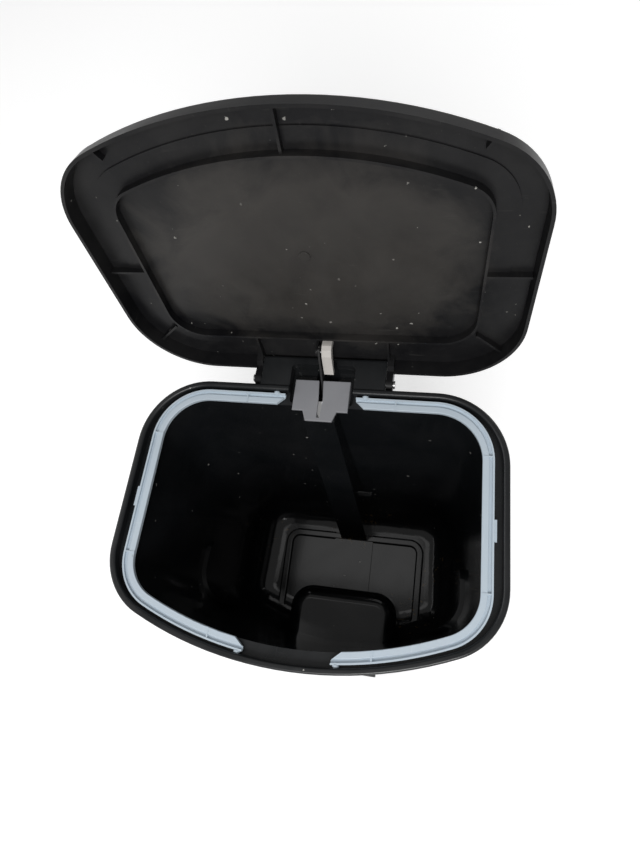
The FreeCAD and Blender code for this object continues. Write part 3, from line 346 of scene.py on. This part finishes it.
cloud = add(
    dust_group,
    "ShaderNodeTexNoise",
    {"Vector": given["Place"], "Scale": 9.0, "Detail": 6.0, "Roughness": 0.65},
)
thick = stretch(dust_group, cloud.outputs[0], 0.42, 0.72)
dust_group.links.new(sums(dust_group, "MULTIPLY", thick, given["Film"]), out["Film"])
print("group:", dust_group.name)

# %% [markdown]
# ## Scuffs
#
# Bags, brushes and fingernails leave short fine lines. Noise that is squeezed hard in one
# direction and stretched in another turns into streaks, and only its highest crests are kept.
# The pattern is turned before it is squeezed, so that the streaks don't follow an axis.

# %% Group: scuffs
scuff_group, given, out = effect_group(
    "scuffs",
    [("Place", "vector", None), ("Amount", "value", 0.5)],
    [("Lines", "value")],
)


def streaks(tree, place, turn, squeeze, scale):
    """Noise turned, then squeezed by a different amount along each axis, with its crests kept."""
    mapped = add(
        tree,
        "ShaderNodeMapping",
        {"Vector": place, "Rotation": turn, "Scale": squeeze},
    )
    noise = add(
        tree, "ShaderNodeTexNoise", {"Vector": mapped.outputs[0], "Scale": scale, "Detail": 2.0}
    )
    return stretch(tree, noise.outputs[0], 0.69, 0.76)


first_lines = streaks(scuff_group, given["Place"], (0.3, 0.5, 0.9), (1.0, 26.0, 1.0), 34.0)
second_lines = streaks(scuff_group, given["Place"], (1.2, 0.1, 2.2), (22.0, 1.0, 22.0), 20.0)
either = sums(scuff_group, "MAXIMUM", first_lines, second_lines)
scuff_group.links.new(
    sums(scuff_group, "MULTIPLY", either, given["Amount"]), out["Lines"]
)
print("group:", scuff_group.name)

# %% [markdown]
# ## Smears
#
# A wiped surface is never evenly shiny. Broad soft noise, bent by more noise, gives the
# patches where a cloth or a hand has been, and it drives roughness more than colour.

# %% Group: smears
smear_group, given, out = effect_group(
    "smears",
    [("Place", "vector", None), ("Per metre", "value", 12.0)],
    [("Patches", "value")],
)
patches = add(
    smear_group,
    "ShaderNodeTexNoise",
    {
        "Vector": given["Place"],
        "Scale": given["Per metre"],
        "Detail": 4.0,
        "Roughness": 0.55,
        "Distortion": 1.4,
    },
)
smear_group.links.new(stretch(smear_group, patches.outputs[0], 0.35, 0.68), out["Patches"])
print("group:", smear_group.name)

# %% [markdown]
# ## Grime that gathers low down
#
# Crumbs and dried splashes collect where the floor of the bin meets its raised frame. The
# group takes a height, fades from full at the floor to nothing a little above it, and breaks
# that up with two sizes of noise, so only a few small patches and crumbs are left.

# %% Group: grime
BIN_FLOOR = 0.026
grime_group, given, out = effect_group(
    "grime",
    [
        ("Place", "vector", None),
        ("Floor height", "value", BIN_FLOOR),
        ("Reach", "value", 0.02),
        ("Amount", "value", 0.5),
    ],
    [("Patches", "value")],
)
axes = add(grime_group, "ShaderNodeSeparateXYZ", {"Vector": given["Place"]})
above_floor = sums(grime_group, "SUBTRACT", axes.outputs[2], given["Floor height"])
fade = sums(
    grime_group,
    "SUBTRACT",
    1.0,
    sums(grime_group, "DIVIDE", above_floor, given["Reach"]),
    clamp=True,
)
crumbs = add(
    grime_group, "ShaderNodeTexNoise", {"Vector": given["Place"], "Scale": 150.0, "Detail": 3.0}
)
spread = add(
    grime_group, "ShaderNodeTexNoise", {"Vector": given["Place"], "Scale": 16.0, "Detail": 1.0}
)
broken = sums(
    grime_group,
    "MULTIPLY",
    stretch(grime_group, crumbs.outputs[0], 0.62, 0.68),
    stretch(grime_group, spread.outputs[0], 0.56, 0.66),
)
grime_group.links.new(
    sums(
        grime_group,
        "MULTIPLY",
        sums(grime_group, "MULTIPLY", broken, fade),
        given["Amount"],
    ),
    out["Patches"],
)
print("group:", grime_group.name)

# %% [markdown]
# ## Haze and a painted highlight in the middle of the lid
#
# The lid's panel is wiped and breathed on, so a thin brownish haze lies on it, while the channel
# round it stays black. The same lighter patch is also a painted highlight, standing in for the
# broad glossy highlight of the light on the middle of the lid. The group measures how far a point
# is from the panel's middle, in units of the panel's own half sizes, and bends that distance with
# noise so that the patch ends in an uneven, cloudy edge.

# %% Group: haze and painted highlight
haze_and_highlight_group, given, out = effect_group(
    "haze_and_highlight",
    [
        ("Place", "vector", None),
        ("Middle", "vector", (0.0, 0.0, 0.0)),
        ("Half sizes", "vector", (1.0, 1.0, 1.0)),
        ("Amount", "value", 0.5),
    ],
    [("Patches", "value")],
)
from_middle = add(
    haze_and_highlight_group, "ShaderNodeVectorMath", {0: given["Place"], 1: given["Middle"]},
    operation="SUBTRACT",
)
in_halves = add(
    haze_and_highlight_group, "ShaderNodeVectorMath", {0: from_middle.outputs[0], 1: given["Half sizes"]},
    operation="DIVIDE",
)
reach = add(haze_and_highlight_group, "ShaderNodeVectorMath", {0: in_halves.outputs[0]}, operation="LENGTH")
clouds = add(
    haze_and_highlight_group,
    "ShaderNodeTexNoise",
    {"Vector": given["Place"], "Scale": 17.0, "Detail": 5.0, "Roughness": 0.6, "Distortion": 0.8},
)
bend = stretch(haze_and_highlight_group, clouds.outputs[0], 0.3, 0.7, -0.22, 0.22)
bent = sums(haze_and_highlight_group, "ADD", reach.outputs["Value"], bend)
patchy = sums(
    haze_and_highlight_group,
    "MULTIPLY",
    stretch(haze_and_highlight_group, bent, 0.72, 1.02, 1.0, 0.0),
    stretch(haze_and_highlight_group, clouds.outputs[0], 0.25, 0.7, 0.55, 1.0),
)
haze_and_highlight_group.links.new(
    sums(haze_and_highlight_group, "MULTIPLY", patchy, given["Amount"]), out["Patches"]
)
print("group:", haze_and_highlight_group.name)

# %% [markdown]
# ## One recipe for all the plastics
#
# Every plastic here is the same idea: a base colour that drifts a little, a roughness that the
# smears and scuffs change, a dust colour laid over both, and grain in a Bump node. So one
# function builds it, and each finish is a short list of numbers.

# %% The plastic recipe
SMEARS_PER_METRE = 12.0
SCUFF_DULLING = 0.2
FILM_DULLING = 0.5


def plastic(
    name,
    colour,
    worn_colour,
    dust_colour=(0.42, 0.41, 0.38, 1),
    rough=(0.3, 0.45),
    drift=0.25,
    pebbles=900.0,
    grain=0.0002,
    swell=0.0006,
    specks=0.15,
    speck_cells=160.0,
    film=0.1,
    scuff=0.4,
    specular=0.5,
):
    """A moulded plastic: colour drift, smears in the gloss, scuffs, dust and moulded grain."""
    material = bpy.data.materials.new(name)
    material.use_nodes = True
    tree = material.node_tree
    shader = tree.nodes["Principled BSDF"]
    place = add(tree, "ShaderNodeTexCoord").outputs["Object"]
    smear = place_group(tree, smear_group, {"Place": place, "Per metre": SMEARS_PER_METRE})
    scuffs = place_group(tree, scuff_group, {"Place": place, "Amount": scuff})
    dust = place_group(
        tree,
        dust_group,
        {
            "Place": place,
            "Cells per metre": speck_cells,
            "Share with specks": specks,
            "Film": film,
        },
    )
    drifting = sums(tree, "MULTIPLY", smear["Patches"], drift)
    base = blend_colour(tree, drifting, colour, worn_colour)
    scuffed = blend_colour(tree, scuffs["Lines"], base, worn_colour)
    filmed = blend_colour(tree, dust["Film"], scuffed, dust_colour)
    dusted = blend_colour(tree, dust["Specks"], filmed, dust_colour)
    tree.links.new(dusted, shader.inputs["Base Color"])
    gloss = stretch(tree, smear["Patches"], 0.0, 1.0, *rough)
    scuff_dull = sums(tree, "MULTIPLY", scuffs["Lines"], SCUFF_DULLING)
    dulled = sums(tree, "ADD", gloss, scuff_dull)
    film_dull = sums(tree, "MULTIPLY", dust["Film"], FILM_DULLING)
    tree.links.new(sums(tree, "ADD", dulled, film_dull), shader.inputs["Roughness"])
    height = place_group(
        tree,
        grain_group,
        {
            "Place": place,
            "Pebbles per metre": pebbles,
            "Pebble height": grain,
            "Swell height": swell,
        },
    )["Height"]
    bump = add(tree, "ShaderNodeBump", {"Height": height, "Distance": 1.0, "Strength": 1.0})
    tree.links.new(bump.outputs[0], shader.inputs["Normal"])
    shader.inputs["Specular IOR Level"].default_value = specular
    return material


# %% Finishes
materials = {
    "black_body": plastic(
        "black_body", (0.006, 0.007, 0.008, 1), (0.02, 0.02, 0.022, 1),
        rough=(0.2, 0.34), grain=0.00002, swell=0.0005, specks=0.05, film=0.012, scuff=0.3,
    ),
    "black_lid": plastic(
        "black_lid", (0.005, 0.005, 0.006, 1), (0.03, 0.029, 0.028, 1),
        rough=(0.3, 0.44), grain=0.00003, swell=0.0004, specks=0.12, film=0.03, scuff=0.45,
        specular=0.18,
    ),
    "black_base": plastic(
        "black_base", (0.012, 0.012, 0.013, 1), (0.035, 0.034, 0.032, 1),
        rough=(0.45, 0.62), grain=0.0001, film=0.06,
    ),
    "ring_plastic": plastic(
        "ring_plastic", (0.50, 0.58, 0.65, 1), (0.62, 0.68, 0.73, 1),
        dust_colour=(0.10, 0.10, 0.10, 1), rough=(0.3, 0.45), grain=0.00002, swell=0.0003,
        specks=0.12, film=0.06, scuff=0.5,
    ),
    "cover_plastic": plastic(
        "cover_plastic", (0.24, 0.243, 0.26, 1), (0.33, 0.33, 0.34, 1),
        dust_colour=(0.28, 0.27, 0.26, 1), rough=(0.38, 0.5), grain=0.00003, film=0.06,
    ),
    "link_plastic": plastic(
        "link_plastic", (0.58, 0.55, 0.52, 1), (0.68, 0.65, 0.60, 1),
        dust_colour=(0.12, 0.11, 0.10, 1), rough=(0.35, 0.5), grain=0.00002, film=0.12,
    ),
    # The push rod's near-black finish is painted shade, so that the cover's slot reads dark.
    "rod_painted_shade": plastic(
        "rod_painted_shade", (0.010, 0.010, 0.011, 1), (0.03, 0.03, 0.03, 1), rough=(0.4, 0.55),
        grain=0.00004, film=0.05,
    ),
    "steel": plastic(
        "steel", (0.42, 0.42, 0.42, 1), (0.30, 0.29, 0.28, 1),
        dust_colour=(0.15, 0.13, 0.11, 1), rough=(0.25, 0.4), grain=0.00001, film=0.05,
    ),
    "foot_rubber": plastic(
        "foot_rubber", (0.02, 0.02, 0.02, 1), (0.05, 0.05, 0.05, 1), rough=(0.7, 0.85),
        grain=0.00005, film=0.2,
    ),
}
materials["steel"].node_tree.nodes["Principled BSDF"].inputs["Metallic"].default_value = 1.0
print("finishes:", sorted(materials))

# %% [markdown]
# ## The body is two finishes in one moulding
#
# The mould's core is polished and its rim is sand-blasted, so the body is mirror-like inside
# and satin from the ledge upwards. Both share one material: the height decides how rough the
# surface is, and the grime group is laid over the colour near the floor.

# %% Body: polish below the ledge, grime on the floor
SATIN_FROM = rim_height - 0.012
SATIN_FADE = 0.004
POLISHED = 0.4
SATIN = 1.35
GRIME_BROWN = (0.16, 0.10, 0.035, 1)
GRIME_AMOUNT = 0.9


def feeding(shader, name):
    """The socket that now feeds one input of the shader."""
    return shader.inputs[name].links[0].from_socket


def polish_and_soil(material):
    """Scales the roughness by POLISHED below SATIN_FROM and by SATIN above it, and lays grime
    on the colour."""
    tree = material.node_tree
    shader = tree.nodes["Principled BSDF"]
    place = add(tree, "ShaderNodeTexCoord").outputs["Object"]
    height = add(tree, "ShaderNodeSeparateXYZ", {"Vector": place}).outputs[2]
    satin = stretch(tree, height, SATIN_FROM, SATIN_FROM + SATIN_FADE, POLISHED, SATIN)
    rough = sums(tree, "MULTIPLY", feeding(shader, "Roughness"), satin)
    tree.links.new(rough, shader.inputs["Roughness"])
    grime = place_group(tree, grime_group, {"Place": place, "Amount": GRIME_AMOUNT})
    soiled = blend_colour(
        tree, grime["Patches"], feeding(shader, "Base Color"), GRIME_BROWN
    )
    tree.links.new(soiled, shader.inputs["Base Color"])


polish_and_soil(materials["black_body"])
print("body polished below", round(SATIN_FROM, 3))

# %% [markdown]
# ## The lid's haze and painted highlight
#
# The lid stands open, so its panel's middle is half way between its low and high corners, and
# the half sizes come from the lid's own box, times a spread for each axis: a little less than
# the lid across and up, and far more than its thickness. The patch goes over the colour as a
# lighter middle, partly real haze and partly a painted highlight, and makes the surface duller
# where it lies.

# %% Lid: haze and painted highlight on the panel
# This colour is lighter than the black lid: it is dusty haze and a painted highlight at once.
HAZE_AND_HIGHLIGHT_COLOUR = (0.085, 0.078, 0.07, 1)
HAZE_AND_HIGHLIGHT_AMOUNT = 0.42
HAZE_DULLING = 0.12
HAZE_AND_HIGHLIGHT_SPREAD = (0.84, 4.0, 0.78)
lid_low, lid_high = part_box("lid_shell")
lid_middle = (lid_low + lid_high) / 2
lid_half = (lid_high - lid_low) / 2
haze_and_highlight_half = [half * spread for half, spread in zip(lid_half, HAZE_AND_HIGHLIGHT_SPREAD)]


def lay_haze_and_highlight(material):
    """Lays the haze and painted highlight over the colour and adds some of it to the roughness.
    """
    tree = material.node_tree
    shader = tree.nodes["Principled BSDF"]
    place = add(tree, "ShaderNodeTexCoord").outputs["Object"]
    haze_and_highlight = place_group(
        tree,
        haze_and_highlight_group,
        {
            "Place": place,
            "Middle": tuple(lid_middle),
            "Half sizes": haze_and_highlight_half,
            "Amount": HAZE_AND_HIGHLIGHT_AMOUNT,
        },
    )
    # The lighter middle painted here is haze and also a painted highlight on the panel.
    hazed_and_highlighted = blend_colour(tree, haze_and_highlight["Patches"], feeding(shader, "Base Color"), HAZE_AND_HIGHLIGHT_COLOUR)
    tree.links.new(hazed_and_highlighted, shader.inputs["Base Color"])
    duller = sums(tree, "MULTIPLY", haze_and_highlight["Patches"], HAZE_DULLING)
    rough = sums(tree, "ADD", feeding(shader, "Roughness"), duller)
    tree.links.new(rough, shader.inputs["Roughness"])


lay_haze_and_highlight(materials["black_lid"])
print("haze round", tuple(round(v, 3) for v in lid_middle))

# %% [markdown]
# ## Dress the CAD nodes
#
# The record says which material slot each node takes its finish from, so the nodes are dressed
# by looking that up rather than by listing them again. The push rod is the exception: it stands
# right behind the cover's slot, where a pale rod would shine through, so it gets a near-black
# finish as painted shade.

# %% Dress the nodes
slot_of_node = {}
for part in frame["record"]["subparts"]:
    slot_of_node[part["node"]] = part["material_slot"]
finish_of_node = {**slot_of_node, "push_rod": "rod_painted_shade"}
for node_name, node in nodes.items():
    node.data.materials.clear()
    node.data.materials.append(materials[finish_of_node[node_name]])
print("dressed:", len(nodes), "nodes")
